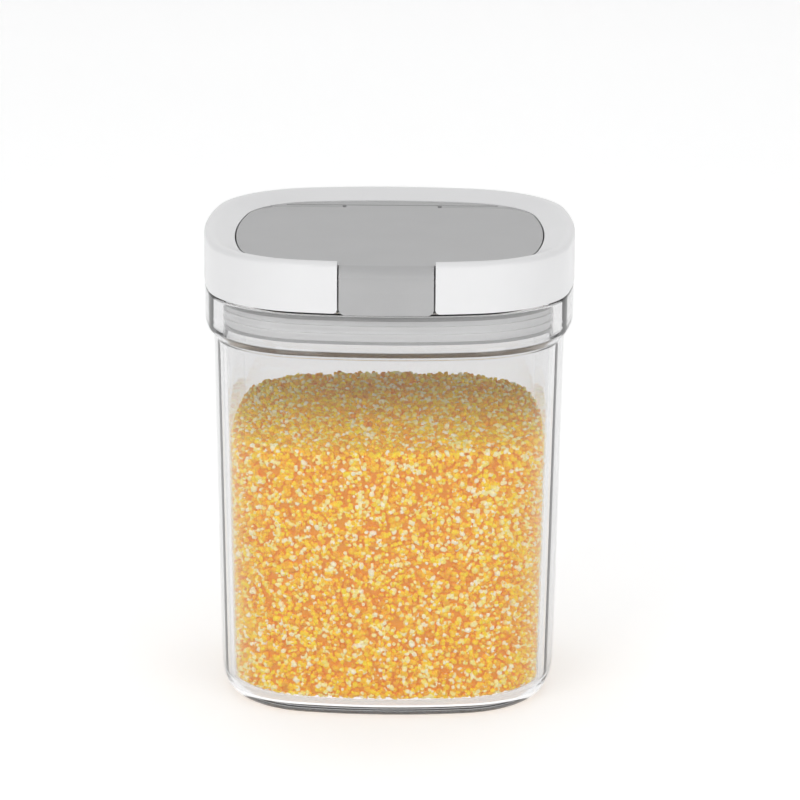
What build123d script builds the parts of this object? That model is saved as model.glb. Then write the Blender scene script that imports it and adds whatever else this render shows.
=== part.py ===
from build123d import *
from math import atan2, degrees, sqrt
import os

# Sizes are in millimetres. The origin is the middle of the base, +Z is up and the tab is at the front, on -Y.

# Plan outline: a square with bowed sides and round corners. Every other outline is this one, inset evenly.
lid_width = 120.0
side_radius = 155.0
corner_radius = 36.6

# Canister: drafted walls, a flared shoulder and a thick collar round the mouth
canister_height = 134.3
wall = 3.0
floor_thickness = 4.0
base_inset = 5.4
base_radius = 7.3
shoulder_inset = 3.0
shoulder_height = 3.2
shoulder_blend = 2.5
collar_height = 11.7
collar_inset = 0.2
collar_edge_radius = 2.4
collar_wall = 4.8
mouth_depth = 13.3
rim_chamfer = 0.5
foot_width = 6.0
foot_recess = 0.9

# Lid ring: outer wall, crest, deck that falls inward to a lip, and a ledge that holds the inner lid
ring_height = 16.2
ring_wall = 2.4
crest_width = 3.0
crest_edge_radius = 1.7
crest_blend = 2.5
deck_width = 6.9
deck_fall_height = 3.0
deck_thickness = 2.2
lip_thickness = 2.0
ledge_width = 1.6
ledge_height = 0.8
bridge_height = 2.0
bridge_overlap = 3.0
notch_corner_radius = 1.4

# Small pips under the ring that keep it just off the collar
pip_height = 0.7
pip_length = 2.4
pip_width = 1.2
pip_inset = 1.6
pip_angle = 36.0

# Inner lid: plate with the pour opening, rim, skirt with the gasket groove, rear deck and hinge ears
plate_depth = 8.2
plate_thickness = 2.2
rim_gap = 0.8
rim_wall = 1.8
skirt_inset = 7.0
skirt_wall = 1.8
skirt_depth = 10.1
flange_gap = 0.6
flange_drop = 0.3
upper_flange_height = 2.2
lower_flange_height = 0.9
pour_inset = 21.0
pour_rear_setback = 1.44
pour_corner = 9.0
pour_rim_wall = 1.6
pour_rim_height = 1.4
rear_deck_step = 0.3
rear_deck_gap = 0.3

# Flip cover: panel, tab folded over the front, plug wall and seal channel
cover_gap = 0.5
cover_thickness = 2.2
cover_rear_corner = 12.0
tab_width = 29.7
tab_side_gap = 0.5
tab_drop = 1.3
tab_fold_radius = 3.4
tab_inner_radius = 1.2
tab_band_height = 3.7
tab_thickness = 2.3
tab_scoop_depth = 0.4
tab_scoop_height = 4.7
tab_scoop_radius = 8.0
tab_bottom_gap = 0.25
tab_corner_radius = 2.0
tab_ramp_start = 12.5
tab_ramp_end = 5.5
tab_root = 4.0
catch_bead_radius = 0.5
catch_bead_rise = 3.6
plug_gap = 0.7
plug_wall = 1.2
plug_depth = 3.6
channel_rib = 1.0
channel_depth = 1.0

# Hinge
hinge_inset = 18.8
barrel_radius = 2.2
knuckle_length = 30.4
knuckle_side_gap = 1.3
knuckle_web = 3.0
ear_side_inset = 18.0
ear_root_overlap = 1.0
hinge_swing_gap = 0.6
pin_radius = 0.9
pin_clearance = 0.05
pin_seat_length = 9.0
pin_chamfer = 0.2

# Seals
gasket_web = 0.9
gasket_lip_thickness = 0.9
gasket_lip_gap = 0.35
gasket_lip_count = 2
seal_width = 2.6
seal_gap = 0.3
seal_side_gap = 0.2

# How near an edge lies to a level, or its radius to an outline's, to be picked
level_tolerance = 0.1
radius_tolerance = 0.01

# Levels and insets that follow from the sizes above
bow_offset = side_radius - lid_width / 2
arc_step = side_radius - corner_radius
corner_offset = (sqrt(2 * arc_step**2 - bow_offset**2) - bow_offset) / 2
side_angle = degrees(atan2(corner_offset, corner_offset + bow_offset))
front = -lid_width / 2
collar_bottom = canister_height - collar_height
shoulder_bottom = collar_bottom - shoulder_height
mouth_inset = collar_inset + collar_wall
mouth_bottom = canister_height - mouth_depth
ring_bottom = canister_height + pip_height
ring_top = ring_bottom + ring_height
ring_inner = crest_width + deck_width
lip_inset = ring_inner - lip_thickness
ledge_inset = ring_wall + ledge_width
ledge_top = ring_bottom + ledge_height
notch_width = tab_width + 2 * tab_side_gap
plate_top = ring_top - plate_depth
plate_bottom = plate_top - plate_thickness
bridge_top = plate_top + bridge_height
rim_inset = ring_wall + rim_gap
flange_inset = mouth_inset + flange_gap
skirt_bottom = canister_height - skirt_depth
upper_flange_top = canister_height - flange_drop
groove_bottom = skirt_bottom + lower_flange_height
groove_top = upper_flange_top - upper_flange_height
groove_height = groove_top - groove_bottom
cover_top = ring_top - deck_fall_height
cover_bottom = cover_top - cover_thickness
cover_inset = ring_inner + cover_gap
tab_top = ring_top - tab_drop
tab_bottom = canister_height + tab_bottom_gap
band_bottom = tab_top - tab_band_height
pour_rear = corner_offset - pour_rear_setback
hinge_y = lid_width / 2 - hinge_inset
hinge_z = cover_top - barrel_radius
cover_rear = hinge_y - barrel_radius - hinge_swing_gap
rear_deck_front = hinge_y + barrel_radius + hinge_swing_gap
rear_deck_inset = ring_inner + rear_deck_gap
ear_inner = knuckle_length / 2 + knuckle_side_gap
ear_reach = lid_width / 2 - ear_side_inset
seal_grow = seal_width - plug_gap + seal_side_gap
pin_length = 2 * (ear_inner + pin_seat_length)
hinge_plane = Plane(origin=(0, hinge_y, hinge_z), x_dir=(0, 1, 0), z_dir=(1, 0, 0))


def rounded_square(inset):
    """The plan outline, inset evenly: bowed sides and corner arcs that meet without a kink."""
    with BuildSketch() as plan:
        with BuildLine():
            for turn in (0, 90, 180, 270):
                side_centre = Vector(-bow_offset, 0).rotate(Axis.Z, turn)
                corner_centre = Vector(corner_offset, corner_offset).rotate(Axis.Z, turn)
                CenterArc(side_centre, side_radius - inset, turn - side_angle, 2 * side_angle)
                CenterArc(corner_centre, corner_radius - inset, turn + side_angle, 90 - 2 * side_angle)
        make_face()
    return plan.sketch


def band(outer_inset, inner_inset):
    """The strip between two outlines."""
    with BuildSketch() as strip:
        add(rounded_square(outer_inset))
        add(rounded_square(inner_inset), mode=Mode.SUBTRACT)
    return strip.sketch


def pour_outline(grow):
    """The pour opening, grown evenly: the plan outline with a straight rear edge that levels a scoop."""
    with BuildSketch() as opening:
        add(rounded_square(pour_inset - grow))
        with Locations((0, pour_rear + grow)):
            Rectangle(lid_width, lid_width, align=(Align.CENTER, Align.MIN), mode=Mode.SUBTRACT)
        fillet(opening.vertices().group_by(Axis.Y)[-1], pour_corner + grow)
    return opening.sketch


def pour_band(outer_grow, inner_grow):
    """The strip between two sizes of the pour opening."""
    with BuildSketch() as strip:
        add(pour_outline(outer_grow))
        add(pour_outline(inner_grow), mode=Mode.SUBTRACT)
    return strip.sketch


def wall_inset(height):
    """Inset of the canister's drafted outer wall at a height."""
    return base_inset + (shoulder_inset - base_inset) * height / shoulder_bottom


def deck_underside(inset):
    """Height of the ring deck's underside at an inset."""
    return ring_top - deck_fall_height * (inset - crest_width) / deck_width - deck_thickness


def follows(inset):
    """Test for the arcs that lie on the outline at an inset."""
    radii = (side_radius - inset, corner_radius - inset)

    def matches(edge):
        return edge.geom_type == GeomType.CIRCLE and min(abs(edge.radius - r) for r in radii) < radius_tolerance

    return matches


# Canister cavity: drafted walls, a slope out to the mouth, and the straight mouth
with BuildPart() as cavity:
    with BuildSketch(Plane.XY.offset(floor_thickness)):
        add(rounded_square(wall_inset(floor_thickness) + wall))
    with BuildSketch(Plane.XY.offset(shoulder_bottom)):
        add(rounded_square(shoulder_inset + wall))
    loft(ruled=True)
    fillet(cavity.edges().group_by(Axis.Z)[0], base_radius - wall)
    with BuildSketch(Plane.XY.offset(shoulder_bottom)):
        add(rounded_square(shoulder_inset + wall))
    with BuildSketch(Plane.XY.offset(mouth_bottom)):
        add(rounded_square(mouth_inset))
    loft(ruled=True)
    with BuildSketch(Plane.XY.offset(mouth_bottom)):
        add(rounded_square(mouth_inset))
    extrude(amount=mouth_depth)

# Canister body
with BuildPart() as canister_body:
    with BuildSketch():
        add(rounded_square(base_inset))
    with BuildSketch(Plane.XY.offset(shoulder_bottom)):
        add(rounded_square(shoulder_inset))
    loft(ruled=True)
    fillet(canister_body.edges().group_by(Axis.Z)[0], base_radius)
    with BuildSketch(Plane.XY.offset(shoulder_bottom)):
        add(rounded_square(shoulder_inset))
    with BuildSketch(Plane.XY.offset(collar_bottom)):
        add(rounded_square(collar_inset))
    loft(ruled=True)
    with BuildSketch(Plane.XY.offset(collar_bottom)):
        add(rounded_square(collar_inset))
    extrude(amount=canister_height - collar_bottom)
    for level, radius in ((collar_bottom, collar_edge_radius), (shoulder_bottom, shoulder_blend)):
        low = level - level_tolerance
        fillet(canister_body.edges().filter_by_position(Axis.Z, low, low + 2 * level_tolerance), radius)
    add(cavity.part, mode=Mode.SUBTRACT)
    chamfer(canister_body.edges().group_by(Axis.Z)[-1], rim_chamfer)
    with BuildSketch():
        add(rounded_square(base_inset + base_radius + foot_width))
    extrude(amount=foot_recess, mode=Mode.SUBTRACT)

canister_body.part.label = "canister_body"

# Hollow under the ring's deck, between its outer wall and its lip
with BuildPart() as ring_hollow:
    with BuildSketch(Plane.XY.offset(ring_bottom)):
        add(rounded_square(ring_wall))
    extrude(amount=deck_underside(ring_wall) - ring_bottom)
    with BuildSketch(Plane.XY.offset(plate_top)):
        add(rounded_square(lip_inset))
    extrude(amount=deck_underside(lip_inset) - plate_top, mode=Mode.SUBTRACT)
    with BuildSketch(Plane.XY.offset(deck_underside(lip_inset))):
        add(rounded_square(lip_inset))
    with BuildSketch(Plane.XY.offset(deck_underside(ring_wall))):
        add(rounded_square(ring_wall))
    loft(ruled=True, mode=Mode.SUBTRACT)

# Lid ring
with BuildPart() as lid_ring:
    with BuildSketch(Plane.XY.offset(ring_bottom)):
        add(rounded_square(0))
    extrude(amount=ring_height)
    fillet(lid_ring.edges().group_by(Axis.Z)[-1], crest_edge_radius)
    with BuildSketch(Plane.XY.offset(cover_top)):
        add(rounded_square(ring_inner))
    with BuildSketch(Plane.XY.offset(ring_top)):
        add(rounded_square(crest_width))
    loft(ruled=True, mode=Mode.SUBTRACT)
    fillet(lid_ring.edges().group_by(Axis.Z)[-1].filter_by(follows(crest_width)), crest_blend)
    add(ring_hollow.part, mode=Mode.SUBTRACT)
    with BuildSketch(Plane.XY.offset(plate_top)):
        add(rounded_square(ring_inner))
    extrude(amount=cover_top - plate_top, mode=Mode.SUBTRACT)
    with BuildSketch(Plane.XY.offset(ring_bottom)):
        add(band(ring_wall / 2, ledge_inset))
    extrude(amount=ledge_height)
    # Bridge across the notch, then the notch that the tab folds through
    with BuildSketch(Plane.XY.offset(plate_top)):
        add(band(ledge_inset, ring_inner))
        with Locations((0, front)):
            Rectangle(notch_width + 2 * bridge_overlap, lid_width / 2, mode=Mode.INTERSECT)
    extrude(amount=bridge_height)
    with BuildSketch(Plane.XY.offset(ring_bottom)):
        with Locations((0, front)):
            Rectangle(notch_width, lid_width / 2)
        add(rounded_square(ledge_inset), mode=Mode.SUBTRACT)
    extrude(amount=ring_height, mode=Mode.SUBTRACT)
    with BuildSketch(Plane.XY.offset(bridge_top)):
        with Locations((0, front)):
            Rectangle(notch_width, lid_width / 2)
    extrude(amount=ring_height, mode=Mode.SUBTRACT)
    notch_corners = lid_ring.edges().filter_by(Axis.Y).group_by(Axis.Z)[0]
    fillet(notch_corners, notch_corner_radius)
    # Pips
    pip_distance = corner_radius - pip_inset
    with BuildSketch(Plane.XY.offset(canister_height)):
        for turn in (pip_angle, 180 - pip_angle, 180 + pip_angle, 360 - pip_angle):
            centre = Vector(pip_distance, 0).rotate(Axis.Z, turn)
            centre += Vector(corner_offset if centre.X > 0 else -corner_offset,
                             corner_offset if centre.Y > 0 else -corner_offset)
            with Locations(Location((centre.X, centre.Y), turn)):
                Rectangle(pip_width, pip_length)
    extrude(amount=pip_height)

lid_ring.part.label = "lid_ring"

# Hinge ears: a barrel on a foot each side of the knuckle, trimmed to the ring's inner outline
with BuildPart() as ears:
    for side in (1, -1):
        with BuildSketch(hinge_plane.offset(side * ear_inner)):
            Circle(barrel_radius)
            with Locations((0, plate_top - hinge_z)):
                Rectangle(2 * barrel_radius, hinge_z - plate_top, align=(Align.CENTER, Align.MIN))
            with Locations((0, plate_top - hinge_z)):
                Rectangle(rear_deck_front - hinge_y + ear_root_overlap, hinge_z - plate_top,
                          align=(Align.MIN, Align.MIN))
        extrude(amount=side * (ear_reach - ear_inner))
    with BuildSketch(Plane.XY.offset(plate_top)):
        add(rounded_square(rear_deck_inset))
    extrude(amount=ring_height, mode=Mode.INTERSECT)
    with BuildSketch(hinge_plane.offset(-ear_reach)):
        Circle(pin_radius)
    extrude(amount=ear_reach + pin_length / 2, mode=Mode.SUBTRACT)

# Inner lid
with BuildPart() as inner_lid:
    # Plate, rim and skirt with its two flanges
    with BuildSketch(Plane.XY.offset(plate_bottom)):
        add(rounded_square(rim_inset))
    extrude(amount=plate_thickness)
    with BuildSketch(Plane.XY.offset(ledge_top)):
        add(band(rim_inset, rim_inset + rim_wall))
    extrude(amount=plate_bottom - ledge_top)
    with BuildSketch(Plane.XY.offset(skirt_bottom)):
        add(band(skirt_inset, skirt_inset + skirt_wall))
    extrude(amount=plate_bottom - skirt_bottom)
    with BuildSketch(Plane.XY.offset(groove_top)):
        add(band(flange_inset, skirt_inset + skirt_wall))
    extrude(amount=upper_flange_height)
    with BuildSketch(Plane.XY.offset(skirt_bottom)):
        add(band(flange_inset, skirt_inset + skirt_wall))
    extrude(amount=lower_flange_height)
    # Pour opening with its raised rim
    with BuildSketch(Plane.XY.offset(plate_top)):
        add(pour_outline(pour_rim_wall))
    extrude(amount=pour_rim_height)
    with BuildSketch(Plane.XY.offset(plate_bottom)):
        add(pour_outline(0))
    extrude(amount=plate_thickness + pour_rim_height, mode=Mode.SUBTRACT)
    # Rear deck behind the hinge
    with BuildSketch(Plane.XY.offset(plate_top)):
        add(rounded_square(rear_deck_inset))
        with Locations((0, rear_deck_front)):
            Rectangle(lid_width, lid_width / 2, align=(Align.CENTER, Align.MIN), mode=Mode.INTERSECT)
    extrude(amount=cover_top - rear_deck_step - plate_top)
    add(ears.part)

inner_lid.part.label = "inner_lid"

# Tab of the flip cover: turned about the axis of the bowed front, then trimmed to width
with BuildPart() as tab:
    with BuildSketch(Plane.YZ) as tab_profile:
        with BuildLine():
            Polyline(
                (front + cover_inset + tab_root, cover_top),
                (front + tab_ramp_start, cover_top),
                (front + tab_ramp_end, tab_top),
                (front, tab_top),
                (front, band_bottom),
                (front + tab_scoop_depth, band_bottom),
                (front + tab_scoop_depth, band_bottom - tab_scoop_height),
                (front, tab_bottom),
                (front + tab_thickness, tab_bottom),
                (front + tab_thickness, tab_top - cover_thickness),
                (front + tab_ramp_end, tab_top - cover_thickness),
                (front + tab_ramp_start, cover_bottom),
                (front + cover_inset + tab_root, cover_bottom),
                close=True,
            )
        make_face()
        corners = tab_profile.vertices()
        fillet(corners.sort_by_distance((front, tab_top))[0], tab_fold_radius)
        corners = tab_profile.vertices()
        fillet(corners.sort_by_distance((front + tab_thickness, tab_top - cover_thickness))[0],
               tab_inner_radius)
        corners = tab_profile.vertices()
        fillet(corners.sort_by_distance((front + tab_scoop_depth, band_bottom - tab_scoop_height))[0],
               tab_scoop_radius)
        with Locations((front + tab_thickness, tab_bottom + catch_bead_rise)):
            Circle(catch_bead_radius)
    revolve(axis=Axis((0, bow_offset, 0), (0, 0, 1)))
    with BuildSketch(Plane.XY.offset(tab_bottom)):
        with Locations((0, front)):
            Rectangle(tab_width, lid_width / 2)
    extrude(amount=ring_height + pip_height, mode=Mode.INTERSECT)
    fillet(tab.edges().filter_by(Axis.Y).group_by(Axis.Z)[0], tab_corner_radius)

# Flip cover
with BuildPart() as flip_cover:
    with BuildSketch(Plane.XY.offset(cover_bottom)) as panel_plan:
        add(rounded_square(cover_inset))
        with Locations((0, cover_rear)):
            Rectangle(lid_width, lid_width, align=(Align.CENTER, Align.MIN), mode=Mode.SUBTRACT)
        fillet(panel_plan.vertices().group_by(Axis.Y)[-1], cover_rear_corner)
    extrude(amount=cover_thickness)
    add(tab.part)
    # Knuckle and the web that joins it to the panel
    with BuildSketch(hinge_plane.offset(-knuckle_length / 2)):
        Circle(barrel_radius)
        Rectangle(cover_rear - hinge_y - knuckle_web, cover_thickness, align=(Align.MAX, Align.MIN))
    extrude(amount=knuckle_length)
    with BuildSketch(hinge_plane.offset(-knuckle_length / 2)):
        Circle(pin_radius + pin_clearance)
    extrude(amount=knuckle_length, mode=Mode.SUBTRACT)
    # Plug wall and the outer rib of the seal channel
    with BuildSketch(Plane.XY.offset(cover_bottom - plug_depth)):
        add(pour_band(-plug_gap, -plug_gap - plug_wall))
    extrude(amount=plug_depth)
    with BuildSketch(Plane.XY.offset(cover_bottom - channel_depth)):
        add(pour_band(seal_grow + channel_rib, seal_grow))
    extrude(amount=channel_depth)

flip_cover.part.label = "flip_cover"

# Hinge pin: seated in both ears, free in the knuckle
with BuildPart() as hinge_pin:
    with BuildSketch(hinge_plane.offset(-pin_length / 2)):
        Circle(pin_radius)
    extrude(amount=pin_length)
    chamfer(hinge_pin.edges(), pin_chamfer)

hinge_pin.part.label = "hinge_pin"

# Seal in the cover's channel, just clear of the pour opening's raised rim
with BuildPart() as cover_seal:
    with BuildSketch(Plane.XY.offset(plate_top + pour_rim_height + seal_gap)):
        add(pour_band(seal_grow, seal_grow - seal_width))
    extrude(amount=cover_bottom - plate_top - pour_rim_height - seal_gap)

cover_seal.part.label = "cover_seal"

# Gasket in the skirt's groove: a web with even lips that reach for the mouth wall
with BuildPart() as lid_gasket:
    with BuildSketch(Plane.XY.offset(groove_bottom)):
        add(band(skirt_inset - gasket_web, skirt_inset))
    extrude(amount=groove_height)
    lip_space = (groove_height - gasket_lip_count * gasket_lip_thickness) / (gasket_lip_count + 1)
    for lip in range(gasket_lip_count):
        lip_bottom = groove_bottom + lip_space + lip * (lip_space + gasket_lip_thickness)
        with BuildSketch(Plane.XY.offset(lip_bottom)):
            add(band(mouth_inset + gasket_lip_gap, skirt_inset - gasket_web / 2))
        extrude(amount=gasket_lip_thickness)

lid_gasket.part.label = "lid_gasket"

os.makedirs("parts", exist_ok=True)
export_step(canister_body.part, "parts/canister_body.step")
export_step(lid_ring.part, "parts/lid_ring.step")
export_step(inner_lid.part, "parts/inner_lid.step")
export_step(flip_cover.part, "parts/flip_cover.step")
export_step(hinge_pin.part, "parts/hinge_pin.step")
export_step(cover_seal.part, "parts/cover_seal.step")
export_step(lid_gasket.part, "parts/lid_gasket.step")
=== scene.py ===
import math

import bpy
import numpy as np
from mathutils import Matrix, Vector

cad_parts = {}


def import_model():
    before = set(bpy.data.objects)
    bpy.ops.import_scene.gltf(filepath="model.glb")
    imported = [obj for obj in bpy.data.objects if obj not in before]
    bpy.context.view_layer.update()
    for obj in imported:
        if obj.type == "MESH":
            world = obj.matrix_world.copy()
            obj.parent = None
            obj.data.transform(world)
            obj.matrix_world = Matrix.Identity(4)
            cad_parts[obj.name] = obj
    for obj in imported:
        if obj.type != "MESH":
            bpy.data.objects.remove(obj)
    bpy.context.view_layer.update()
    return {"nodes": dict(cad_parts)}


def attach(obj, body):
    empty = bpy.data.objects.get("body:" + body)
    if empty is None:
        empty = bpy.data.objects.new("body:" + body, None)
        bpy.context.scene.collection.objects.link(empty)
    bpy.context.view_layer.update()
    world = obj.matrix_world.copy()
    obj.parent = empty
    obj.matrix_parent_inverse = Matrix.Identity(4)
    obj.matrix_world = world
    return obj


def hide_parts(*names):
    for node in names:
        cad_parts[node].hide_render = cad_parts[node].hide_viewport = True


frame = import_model()

MM = 0.001

# Camera
AIM = Vector((0.0036, 0.0, 0.09206))
CAMERA_DISTANCE = 1.4
ELEVATION = math.radians(14.576)
YAW = math.radians(0.8504)
ROLL = math.radians(0.324)
LENS = 192.47
SENSOR = 36.0

# Surroundings: brightness of the world, and of the floor's own light
WORLD_STRENGTH = 0.37
FLOOR_GLOW = 0.36

# Pale sweep behind the object, in metres
SWEEP_FRONT = -3.0
SWEEP_BEND = 1.2
SWEEP_RADIUS = 0.9
SWEEP_TOP = 4.0
SWEEP_HALF_WIDTH = 4.0
SWEEP_STEPS = 16

# Plan outline of the container, in millimetres
HALF_WIDTH = 60.0
SIDE_RADIUS = 155.0
CORNER_RADIUS = 36.6
SIDE_STEPS = 22
CORNER_STEPS = 42

# Canister profile, in millimetres
WALL = 3.0
FLOOR = 4.0
BASE_INSET = 5.4
BASE_RADIUS = 7.3
FOOT_WIDTH = 6.0
FOOT_RECESS = 0.9
FOOT_EDGE = 0.3
SHOULDER_INSET = 3.0
SHOULDER_BOTTOM = 119.4
SHOULDER_BLEND = 2.5
INNER_SHOULDER_BLEND = 0.8
COLLAR_INSET = 0.2
COLLAR_BOTTOM = 122.6
COLLAR_EDGE = 2.4
MOUTH_INSET = 5.0
MOUTH_BOTTOM = 121.0
MOUTH_EDGE = 0.4
CANISTER_TOP = 134.3
RIM_RADIUS = 0.6
PROFILE_CORNER_STEPS = 7
SHARP_ANGLE = math.radians(32.0)

# Clear plastic: how fast it darkens with depth, per metre
ABSORPTION = 12.0

# Corn grits, in millimetres
GRITS_TOP = 88.0
GRITS_GAP = 0.5
CONTACT_GAP = 0.15
GRAIN_SMALL = 0.7
GRAIN_LARGE = 1.3
GRAIN_SEED = 20
GRAIN_KINDS = 14

# Grains along the walls
SIDE_COUNT = 25000
SIDE_DEPTH = 0.7
SIDE_SIZES = (0.75, 1.0, 1.0, 1.15)
SIDE_LOWEST = 0.2
SIDE_TOP_GAP = 0.6
SIDE_SURFACE_GAP = 0.3
SIDE_SINK = 0.85
SIDE_MEASURE_INSET = 9.0

# Grains over the top
TOP_COUNT = 7500
TOP_LIFT = 0.4
TOP_EDGE_GAP = 1.0
TOP_SIZE = 1.05

# Core behind the grains
CORE_INSET = 2.0
CORE_BOTTOM_GAP = 0.9
CORE_CORNER_HEIGHT = 4.5
CORE_WALL_BOTTOM = 12
CORE_TOP_GAP = 1.6

# Tone of a grain: its place on the colour ramp
PALE_SHARE = 0.31
PALE_TONE = (0.82, 1.0)
DEEP_TONE = 0.14
DEEP_SPREAD = 0.62
# Painted shade: the core that shows in the gaps between grains has the grits' colour,
# deepened to a darker orange than most grains
CORE_SHADED_TONE = 0.16

# Painted light: grains glow in their own colour though they are no lamp, evenly at the
# sides, and on top weak at the back and stronger towards the front
GRAIN_PAINTED_LIGHT = 0.19
TOP_PAINTED_LIGHT_LOW = 0.03
TOP_PAINTED_LIGHT_RISE = 0.20
TOP_PAINTED_LIGHT_BACK = 30.0
TOP_PAINTED_LIGHT_DEPTH = 80.0
TOP_LAYER = 2.0


def link_object(name, data):
    """A new object in the scene that holds the data."""
    new = bpy.data.objects.new(name, data)
    bpy.context.scene.collection.objects.link(new)
    return new


def camera_object():
    """The camera at the photograph's angle."""
    data = bpy.data.cameras.new("camera")
    data.lens = LENS
    data.sensor_width = SENSOR
    camera = link_object("camera", data)
    away = Vector((math.cos(ELEVATION) * math.sin(YAW),
                   -math.cos(ELEVATION) * math.cos(YAW),
                   math.sin(ELEVATION)))
    turn = (-away).to_track_quat("-Z", "Y").to_matrix().to_4x4()
    place = Matrix.Translation(AIM + away * CAMERA_DISTANCE)
    camera.matrix_world = place @ turn @ Matrix.Rotation(ROLL, 4, "Z")
    bpy.context.scene.camera = camera


def area_light(name, place, target, size, power):
    """A soft white light that faces a target."""
    data = bpy.data.lights.new(name, "AREA")
    data.shape = "RECTANGLE"
    data.size, data.size_y = size
    data.energy = power
    light = link_object(name, data)
    light.location = place
    facing = Vector(target) - Vector(place)
    light.rotation_euler = facing.to_track_quat("-Z", "Y").to_euler()


class Nodes:
    """A short way to build a node tree."""

    def __init__(self, tree):
        self.tree = tree
        tree.nodes.clear()

    def add(self, kind, values=None, **settings):
        node = self.tree.nodes.new(kind)
        for name, value in settings.items():
            setattr(node, name, value)
        for name, value in (values or {}).items():
            node.inputs[name].default_value = value
        return node

    def link(self, source, output, target, socket):
        self.tree.links.new(source.outputs[output], target.inputs[socket])

    def noise(self, scale, detail, **values):
        """Noise fixed to the piece, with its scale in waves per metre."""
        place = self.add("ShaderNodeTexCoord")
        node = self.add("ShaderNodeTexNoise",
                        {"Scale": scale, "Detail": detail, **values})
        self.link(place, "Object", node, "Vector")
        return node

    def ramp(self, source, output, stops):
        """A colour ramp with the given positions and colours."""
        node = self.add("ShaderNodeValToRGB")
        elements = node.color_ramp.elements
        while len(elements) < len(stops):
            elements.new(0.5)
        for element, (position, colour) in zip(elements, stops):
            element.position = position
            element.color = (*colour, 1.0)
        self.link(source, output, node, "Fac")
        return node

    def spread(self, source, low, high):
        """The source's 0 to 1 stretched from low to high."""
        node = self.add("ShaderNodeMapRange", {"To Min": low, "To Max": high})
        self.link(source, "Fac", node, "Value")
        return node

    def gloss(self, source, shader, low, high):
        """Roughness that follows the source."""
        self.link(self.spread(source, low, high), "Result", shader, "Roughness")

    def relief(self, source, shader, strength, depth):
        """Bumps that follow the source, with their depth in metres."""
        bump = self.add("ShaderNodeBump", {"Strength": strength, "Distance": depth})
        self.link(source, "Fac", bump, "Height")
        self.link(bump, "Normal", shader, "Normal")


def new_material(name, values):
    """A material, its nodes, its output and its main shader."""
    material = bpy.data.materials.new(name)
    material.use_nodes = True
    nodes = Nodes(material.node_tree)
    out = nodes.add("ShaderNodeOutputMaterial")
    shader = nodes.add("ShaderNodeBsdfPrincipled", values)
    return material, nodes, out, shader


def moulded_plastic(name, colour, roughness, grain_scale, grain_depth,
                    shift=0.03, coat=0.0):
    """Moulded plastic: slightly cloudy colour and gloss, and a fine surface grain."""
    material, nodes, out, shader = new_material(name, {"Coat Weight": coat})
    cloud = nodes.noise(45.0, 3.0, Roughness=0.55)
    low = tuple(c * (1.0 - shift) for c in colour)
    high = tuple(min(c * (1.0 + shift), 1.0) for c in colour)
    tone = nodes.ramp(cloud, "Fac", ((0.3, low), (0.7, high)))
    nodes.link(tone, "Color", shader, "Base Color")
    nodes.gloss(cloud, shader, roughness - 0.04, roughness + 0.04)
    grain = nodes.noise(grain_scale, 2.0)
    nodes.relief(grain, shader, 0.35, grain_depth)
    nodes.link(shader, "BSDF", out, "Surface")
    return material


def clear_plastic(name):
    """Clear moulded plastic that lets the lamps through."""
    material, nodes, out, shader = new_material(name, {
        "Base Color": (0.86, 0.86, 0.862, 1.0),
        "Transmission Weight": 1.0,
        "IOR": 1.5})
    flow = nodes.noise(9.0, 1.0)
    nodes.gloss(flow, shader, 0.0, 0.012)
    nodes.relief(flow, shader, 0.06, 0.0004)
    through = nodes.add("ShaderNodeBsdfTransparent", {"Color": (1.0, 1.0, 1.0, 1.0)})
    ray = nodes.add("ShaderNodeLightPath")
    mix = nodes.add("ShaderNodeMixShader")
    nodes.link(ray, "Is Shadow Ray", mix, "Fac")
    nodes.link(shader, "BSDF", mix, 1)
    nodes.link(through, "BSDF", mix, 2)
    nodes.link(mix, "Shader", out, "Surface")
    absorb = nodes.add("ShaderNodeVolumeAbsorption", {
        "Color": (0.5, 0.5, 0.505, 1.0), "Density": ABSORPTION})
    nodes.link(absorb, "Volume", out, "Volume")
    return material


def steel(name):
    """Plain steel with uneven gloss."""
    material, nodes, out, shader = new_material(name, {
        "Base Color": (0.62, 0.62, 0.63, 1.0), "Metallic": 1.0})
    streak = nodes.noise(900.0, 2.0)
    nodes.gloss(streak, shader, 0.18, 0.38)
    nodes.link(shader, "BSDF", out, "Surface")
    return material


def grits_material(name):
    """Dry corn grits: each grain has its own tone, from deep yellow to pale cream, and a
    painted glow of painted light in that colour.
    """
    material, nodes, out, shader = new_material(name, {
        "Subsurface Weight": 0.12,
        "Subsurface Scale": 0.0012,
        "Subsurface Radius": (1.0, 0.6, 0.2),
        "Emission Strength": 1.0})
    tone = nodes.add("ShaderNodeAttribute", attribute_name="tone")
    colours = nodes.ramp(tone, "Fac", (
        (0.00, (0.50, 0.18, 0.0)),
        (0.18, (0.90, 0.37, 0.0)),
        (0.50, (1.0, 0.60, 0.0)),
        (0.76, (1.0, 0.78, 0.0)),
        (0.86, (0.98, 0.86, 0.26)),
        (1.00, (0.99, 0.95, 0.76))))
    mottle = nodes.noise(1400.0, 2.0)
    tint = nodes.add("ShaderNodeVectorMath", operation="SCALE")
    nodes.link(colours, "Color", tint, 0)
    nodes.link(nodes.spread(mottle, 0.82, 1.12), "Result", tint, "Scale")
    nodes.link(tint, "Vector", shader, "Base Color")
    # Painted light: the emission makes each grain glow in its own colour, scaled by a
    # per-point value
    painted_light = nodes.add("ShaderNodeAttribute", attribute_name="painted_light")
    painted_light_colour = nodes.add("ShaderNodeVectorMath", operation="SCALE")
    nodes.link(tint, "Vector", painted_light_colour, 0)
    nodes.link(painted_light, "Fac", painted_light_colour, "Scale")
    nodes.link(painted_light_colour, "Vector", shader, "Emission Color")
    nodes.gloss(mottle, shader, 0.42, 0.62)
    nodes.relief(mottle, shader, 0.4, 0.0001)
    nodes.link(shader, "BSDF", out, "Surface")
    return material


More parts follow.
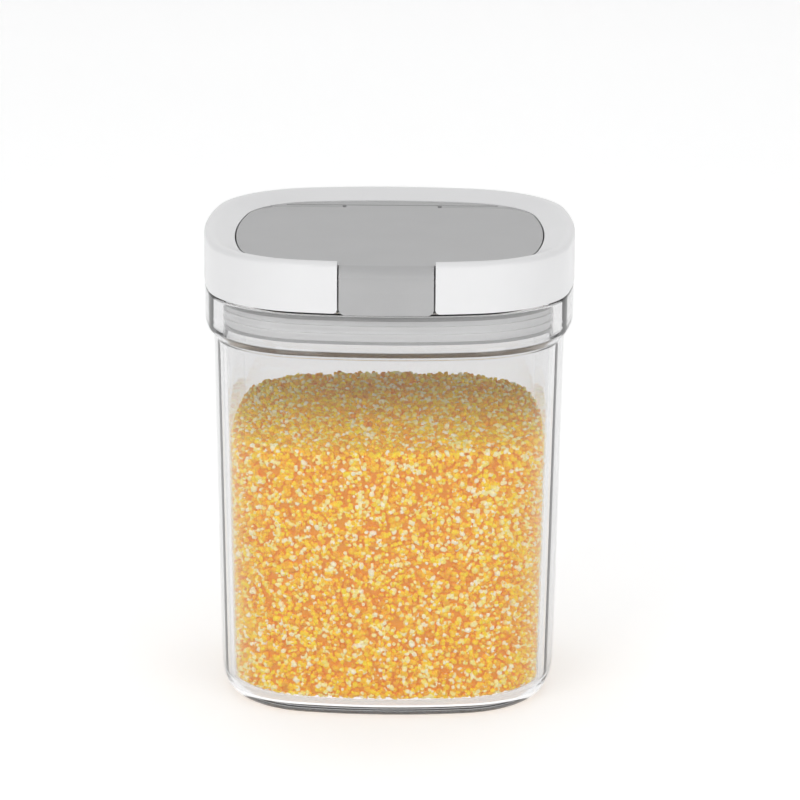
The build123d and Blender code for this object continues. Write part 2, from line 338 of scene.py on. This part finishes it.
def stage_material(name):
    """The pale floor, which gives a little light of its own."""
    material, nodes, out, shader = new_material(name, {
        "Roughness": 0.7,
        "Specular IOR Level": 0.2,
        "Emission Color": (1.0, 1.0, 1.0, 1.0),
        "Emission Strength": FLOOR_GLOW})
    cloud = nodes.noise(3.0, 2.0)
    tone = nodes.ramp(cloud, "Fac", (
        (0.0, (0.93, 0.93, 0.93)), (1.0, (0.95, 0.95, 0.95))))
    nodes.link(tone, "Color", shader, "Base Color")
    nodes.link(shader, "BSDF", out, "Surface")
    return material


def mesh_object(name, points, faces):
    """A smooth-shaded object made of points and faces."""
    mesh = bpy.data.meshes.new(name)
    mesh.from_pydata([tuple(p) for p in points], [], faces)
    mesh.validate()
    mesh.update()
    mesh.polygons.foreach_set("use_smooth", [True] * len(mesh.polygons))
    return link_object(name, mesh)


def point_values(mesh, name, values):
    """Gives each point of a mesh a number that its material reads."""
    attribute = mesh.attributes.new(name, "FLOAT", "POINT")
    attribute.data.foreach_set("value", values.astype(np.float32))


def plan_stations():
    """Centres, radii and directions round the plan outline, for any inset."""
    bow = SIDE_RADIUS - HALF_WIDTH
    step = SIDE_RADIUS - CORNER_RADIUS
    offset = (math.sqrt(2 * step**2 - bow**2) - bow) / 2
    side_angle = math.atan2(offset, offset + bow)
    corner_sweep = math.pi / 2 - 2 * side_angle
    arcs = (
        ((-bow, 0.0), SIDE_RADIUS, -side_angle, 2 * side_angle, SIDE_STEPS),
        ((offset, offset), CORNER_RADIUS, side_angle, corner_sweep, CORNER_STEPS))
    centres, radii, angles = [], [], []
    for quarter in range(4):
        turn = quarter * math.pi / 2
        for (x, y), radius, start, sweep, steps in arcs:
            centre = (x * math.cos(turn) - y * math.sin(turn),
                      x * math.sin(turn) + y * math.cos(turn))
            for i in range(steps):
                centres.append(centre)
                radii.append(radius)
                angles.append(turn + start + sweep * i / steps)
    angles = np.array(angles)
    directions = np.stack([np.cos(angles), np.sin(angles)], 1)
    return np.array(centres), np.array(radii), directions


CENTRES, RADII, DIRECTIONS = plan_stations()


def outline(inset):
    """Points of the plan outline at an inset, in millimetres."""
    return CENTRES + (RADII - inset)[:, None] * DIRECTIONS


def rounded_profile(corners):
    """A profile of (inset, height) whose corners are rounded by their own radii."""
    points = []
    last = len(corners) - 1
    for i, (inset, height, radius) in enumerate(corners):
        here = np.array((inset, height))
        if i in (0, last) or radius == 0:
            points.append(here)
            continue
        before = np.array(corners[i - 1][:2]) - here
        after = np.array(corners[i + 1][:2]) - here
        before /= np.linalg.norm(before)
        after /= np.linalg.norm(after)
        half = math.acos(np.clip(before @ after, -1, 1)) / 2
        reach = radius / math.tan(half)
        middle = before + after
        centre = here + middle / np.linalg.norm(middle) * radius / math.sin(half)
        first = here + before * reach - centre
        final = here + after * reach - centre
        for k in range(PROFILE_CORNER_STEPS + 1):
            mix = first + (final - first) * k / PROFILE_CORNER_STEPS
            points.append(centre + mix / np.linalg.norm(mix) * radius)
    return points


def swept(name, profile):
    """A profile carried round the plan outline, with a flat face at both ends."""
    rows = [np.column_stack([outline(inset), np.full(len(RADII), height)])
            for inset, height in profile]
    points = np.vstack(rows) * MM
    around = len(RADII)
    last = (len(profile) - 1) * around
    faces = []
    for row in range(0, last, around):
        for i in range(around):
            j = (i + 1) % around
            faces.append((row + i, row + j, row + around + j, row + around + i))
    faces.append(tuple(range(around))[::-1])
    faces.append(tuple(last + i for i in range(around)))
    return mesh_object(name, points, faces)


def wall_inset(height):
    """How far the canister's outer wall lies inside the plan outline at a height."""
    return BASE_INSET + (SHOULDER_INSET - BASE_INSET) * height / SHOULDER_BOTTOM


def sharpen(piece):
    """Keeps flat faces flat next to rounded edges."""
    modifier = piece.modifiers.new("weights", "WEIGHTED_NORMAL")
    modifier.keep_sharp = True
    piece.data.set_sharp_from_angle(angle=SHARP_ANGLE)


def canister():
    """The canister: up the outside, over the rim and down the inside."""
    foot = BASE_INSET + BASE_RADIUS
    profile = rounded_profile((
        (foot + FOOT_WIDTH, FOOT_RECESS, 0),
        (foot + FOOT_WIDTH, 0.0, FOOT_EDGE),
        (BASE_INSET, 0.0, BASE_RADIUS),
        (SHOULDER_INSET, SHOULDER_BOTTOM, SHOULDER_BLEND),
        (COLLAR_INSET, COLLAR_BOTTOM, COLLAR_EDGE),
        (COLLAR_INSET, CANISTER_TOP, RIM_RADIUS),
        (MOUTH_INSET, CANISTER_TOP, RIM_RADIUS),
        (MOUTH_INSET, MOUTH_BOTTOM, MOUTH_EDGE),
        (SHOULDER_INSET + WALL, SHOULDER_BOTTOM, INNER_SHOULDER_BLEND),
        (wall_inset(FLOOR) + WALL, FLOOR, BASE_RADIUS - WALL),
        (foot, FLOOR, 0)))
    piece = swept("canister_shell", profile)
    sharpen(piece)
    return piece


# An icosahedron: the plain form of a grain
GOLDEN = (1 + 5**0.5) / 2
GRAIN_CORNERS = np.array([
    (-1, GOLDEN, 0), (1, GOLDEN, 0), (-1, -GOLDEN, 0), (1, -GOLDEN, 0),
    (0, -1, GOLDEN), (0, 1, GOLDEN), (0, -1, -GOLDEN), (0, 1, -GOLDEN),
    (GOLDEN, 0, -1), (GOLDEN, 0, 1), (-GOLDEN, 0, -1), (-GOLDEN, 0, 1)])
GRAIN_POINTS = len(GRAIN_CORNERS)
GRAIN_FACES = np.array([
    (0, 11, 5), (0, 5, 1), (0, 1, 7), (0, 7, 10), (0, 10, 11),
    (1, 5, 9), (5, 11, 4), (11, 10, 2), (10, 7, 6), (7, 1, 8),
    (3, 9, 4), (3, 4, 2), (3, 2, 6), (3, 6, 8), (3, 8, 9),
    (4, 9, 5), (2, 4, 11), (6, 2, 10), (8, 6, 7), (9, 8, 1)])


def grain_shapes(rng):
    """A few angular chips, each a squashed and chipped icosahedron."""
    base = GRAIN_CORNERS / np.linalg.norm(GRAIN_CORNERS[0])
    shapes = []
    for _ in range(GRAIN_KINDS):
        scale = rng.uniform((0.75, 0.6, 0.55), (1.15, 0.95, 0.85))
        swell = rng.uniform(0.82, 1.15, (GRAIN_POINTS, 1))
        chips = rng.normal(0, 0.06, (GRAIN_POINTS, 3))
        shapes.append(base * scale * swell + chips)
    return np.array(shapes)


def random_turns(rng, count):
    """Random rotation matrices, spread evenly over all directions."""
    q = rng.normal(size=(count, 4))
    q /= np.linalg.norm(q, axis=1)[:, None]
    w, x, y, z = q.T
    rows = (
        (1 - 2 * (y * y + z * z), 2 * (x * y - z * w), 2 * (x * z + y * w)),
        (2 * (x * y + z * w), 1 - 2 * (x * x + z * z), 2 * (y * z - x * w)),
        (2 * (x * z - y * w), 2 * (y * z + x * w), 1 - 2 * (x * x + y * y)))
    return np.stack([np.stack(row, 1) for row in rows], 1)


def grits_inset(height, gap=GRITS_GAP):
    """How far the grits' outer face lies inside the plan outline at a height."""
    radius = BASE_RADIUS - WALL
    drop = np.clip(radius - (height - FLOOR - gap), 0, radius)
    return wall_inset(height) + WALL + gap + radius - np.sqrt(radius**2 - drop**2)


def top_height(x, y):
    """The uneven top of the grits: two shallow waves on a level."""
    return GRITS_TOP + 0.15 * np.sin(x * 0.09 + 0.6) + 0.12 * np.sin(x * 0.31 + y * 0.27)


def side_grains(rng):
    """Places, sizes and outline stations of the grains along the walls."""
    around = outline(SIDE_MEASURE_INSET)
    length = np.linalg.norm(np.roll(around, -1, 0) - around, axis=1)
    along = np.cumsum(length)
    rise = rng.uniform(SIDE_LOWEST, GRITS_TOP - FLOOR - SIDE_TOP_GAP, SIDE_COUNT)
    heights = FLOOR + GRITS_GAP + rise
    stations = np.searchsorted(along, rng.uniform(0, along[-1], SIDE_COUNT))
    shares = rng.uniform(0, 1, SIDE_COUNT)
    sizes = (rng.uniform(GRAIN_SMALL, GRAIN_LARGE, SIDE_COUNT)
             * rng.choice(SIDE_SIZES, SIDE_COUNT))
    for station, height, share, size in zip(stations, heights, shares, sizes):
        inset = grits_inset(height) + size * SIDE_SINK + SIDE_DEPTH * rng.uniform(0, 1)
        here = CENTRES[station] + (RADII[station] - inset) * DIRECTIONS[station]
        follow = (station + 1) % len(RADII)
        there = CENTRES[follow] + (RADII[follow] - inset) * DIRECTIONS[follow]
        x, y = here + (there - here) * share
        if height <= top_height(x, y) - SIDE_SURFACE_GAP:
            yield (x, y, height), size, station


def top_grains(rng):
    """Places, sizes and outline stations of the grains over the top."""
    edge = grits_inset(GRITS_TOP)
    reach = HALF_WIDTH - edge
    limit = outline(edge + TOP_EDGE_GAP)
    for x, y in rng.uniform(-reach, reach, (TOP_COUNT, 2)):
        gaps = np.einsum("ij,ij->i", limit - (x, y), DIRECTIONS)
        if gaps.min() >= 0:
            size = rng.uniform(GRAIN_SMALL, GRAIN_LARGE) * TOP_SIZE
            height = top_height(x, y) + TOP_LIFT * rng.uniform(-1, 1)
            yield (x, y, height), size, gaps.argmin()


def flattened(points, stations):
    """Grains laid flat against the walls and floor where they would pass them."""
    centre = CENTRES[stations][:, None]
    away = points[:, :, :2] - centre
    reach = RADII[stations][:, None] - grits_inset(points[:, :, 2], CONTACT_GAP)
    shorten = np.minimum(1, reach / np.linalg.norm(away, axis=2))
    points[:, :, :2] = centre + away * shorten[:, :, None]
    points[:, :, 2] = np.maximum(points[:, :, 2], FLOOR + CONTACT_GAP)
    return points


def grits(material):
    """Separate grains along the walls and over the top of the core."""
    rng = np.random.default_rng(GRAIN_SEED)
    grains = [*side_grains(rng), *top_grains(rng)]
    places, sizes, stations = map(np.array, zip(*grains))
    count = len(places)
    shapes = grain_shapes(rng)
    chosen = shapes[rng.integers(0, len(shapes), count)] * sizes[:, None, None]
    chosen = np.einsum("nij,nkj->nki", random_turns(rng, count), chosen)
    points = flattened(chosen + places[:, None, :], stations).reshape(-1, 3) * MM
    starts = GRAIN_POINTS * np.arange(count)[:, None, None]
    faces = (GRAIN_FACES[None] + starts).reshape(-1, 3)
    mesh = bpy.data.meshes.new("corn_grits")
    mesh.vertices.add(len(points))
    mesh.vertices.foreach_set("co", points.ravel())
    mesh.loops.add(faces.size)
    mesh.loops.foreach_set("vertex_index", faces.ravel())
    mesh.polygons.add(len(faces))
    mesh.polygons.foreach_set("loop_start", np.arange(0, faces.size, 3))
    mesh.update(calc_edges=True)
    pale = rng.random(count) < PALE_SHARE
    tone = np.where(pale, rng.uniform(*PALE_TONE, count),
                    DEEP_TONE + DEEP_SPREAD * rng.random(count))
    point_values(mesh, "tone", np.repeat(tone, GRAIN_POINTS))
    # Painted light: grains at the sides glow evenly; in the top layer the glow is weak
    # at the back and rises towards the front
    front = np.clip((TOP_PAINTED_LIGHT_BACK - places[:, 1]) / TOP_PAINTED_LIGHT_DEPTH, 0, 1)
    painted_light = np.where(places[:, 2] > GRITS_TOP - TOP_LAYER,
                    TOP_PAINTED_LIGHT_LOW + TOP_PAINTED_LIGHT_RISE * front, GRAIN_PAINTED_LIGHT)
    point_values(mesh, "painted_light", np.repeat(painted_light, GRAIN_POINTS))
    mesh.materials.append(material)
    return link_object("corn_grits", mesh)


def grits_core(material):
    """The mass of grits behind the outer grains."""
    heights = np.concatenate([
        FLOOR + CORE_BOTTOM_GAP + np.linspace(0, CORE_CORNER_HEIGHT, 8),
        np.linspace(CORE_WALL_BOTTOM, GRITS_TOP - CORE_TOP_GAP, 14)])
    piece = swept("grits_core", [
        (grits_inset(height) + CORE_INSET, height) for height in heights])
    mesh = piece.data
    # Painted shade and painted light: the core takes a deeper tone for the gaps between
    # grains, and the grains' even glow
    point_values(mesh, "tone", np.full(len(mesh.vertices), CORE_SHADED_TONE))
    point_values(mesh, "painted_light", np.full(len(mesh.vertices), GRAIN_PAINTED_LIGHT))
    mesh.materials.append(material)
    return piece


def dress(node, material):
    """Gives a CAD node its material."""
    piece = frame["nodes"][node]
    piece.data.materials.clear()
    piece.data.materials.append(material)


def floor_piece():
    """A pale sweep: floor, a wide curve, and a wall well behind."""
    profile = [(SWEEP_FRONT, 0.0), (SWEEP_BEND, 0.0)]
    for i in range(1, SWEEP_STEPS + 1):
        angle = math.pi / 2 * i / SWEEP_STEPS
        profile.append((SWEEP_BEND + SWEEP_RADIUS * math.sin(angle),
                        SWEEP_RADIUS * (1 - math.cos(angle))))
    profile.append((SWEEP_BEND + SWEEP_RADIUS, SWEEP_TOP))
    points = [(side * SWEEP_HALF_WIDTH, y, z) for y, z in profile for side in (-1, 1)]
    faces = [(i, i + 1, i + 3, i + 2) for i in range(0, len(points) - 2, 2)]
    return mesh_object("floor", points, faces)


def world():
    """White surroundings, a little darker towards the bottom."""
    scene_world = bpy.data.worlds.new("surroundings")
    bpy.context.scene.world = scene_world
    scene_world.use_nodes = True
    nodes = Nodes(scene_world.node_tree)
    out = nodes.add("ShaderNodeOutputWorld")
    light = nodes.add("ShaderNodeBackground", {"Strength": WORLD_STRENGTH})
    place = nodes.add("ShaderNodeTexCoord")
    split = nodes.add("ShaderNodeSeparateXYZ")
    nodes.link(place, "Generated", split, "Vector")
    height = nodes.add("ShaderNodeMapRange", {"From Min": -1.0, "From Max": 1.0})
    nodes.link(split, "Z", height, "Value")
    tone = nodes.ramp(height, "Result", (
        (0.0, (0.55, 0.56, 0.58)),
        (0.45, (0.75, 0.76, 0.78)),
        (0.8, (1.0, 1.0, 1.0))))
    nodes.link(tone, "Color", light, "Color")
    nodes.link(light, "Background", out, "Surface")


camera_object()
world()
area_light("key", place=(-0.75, -1.1, 0.75), target=(0, 0, 0.08),
           size=(0.8, 0.8), power=5.2)
area_light("fill", place=(0.85, -1.0, 0.6), target=(0, 0, 0.08),
           size=(0.8, 0.8), power=3.9)
area_light("top", place=(0.0, 0.1, 1.4), target=(0, 0, 0.1),
           size=(1.2, 1.0), power=3.3)
bpy.context.scene.view_settings.view_transform = "Standard"

floor = floor_piece()
floor.data.materials.append(stage_material("pale_floor"))

clear = clear_plastic("clear_plastic")
shell = canister()
shell.data.materials.append(clear)
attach(shell, "canister")
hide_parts("canister_body")

dress("lid_ring", moulded_plastic(
    "white_plastic", colour=(0.84, 0.84, 0.845), roughness=0.34,
    grain_scale=1800.0, grain_depth=0.00006, shift=0.012, coat=0.15))
dress("inner_lid", moulded_plastic(
    "lid_grey_plastic", colour=(0.455, 0.455, 0.457), roughness=0.48,
    grain_scale=2400.0, grain_depth=0.0001))
dress("flip_cover", moulded_plastic(
    "cover_grey_plastic", colour=(0.46, 0.46, 0.462), roughness=0.46,
    grain_scale=2400.0, grain_depth=0.0001))
dress("hinge_pin", steel("pin_steel"))
silicone = moulded_plastic(
    "silicone", colour=(0.86, 0.86, 0.86), roughness=0.4,
    grain_scale=1500.0, grain_depth=0.00005)
dress("cover_seal", silicone)
dress("lid_gasket", silicone)

grain_material = grits_material("corn_grain")
for piece in (grits(grain_material), grits_core(grain_material)):
    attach(piece, "canister")
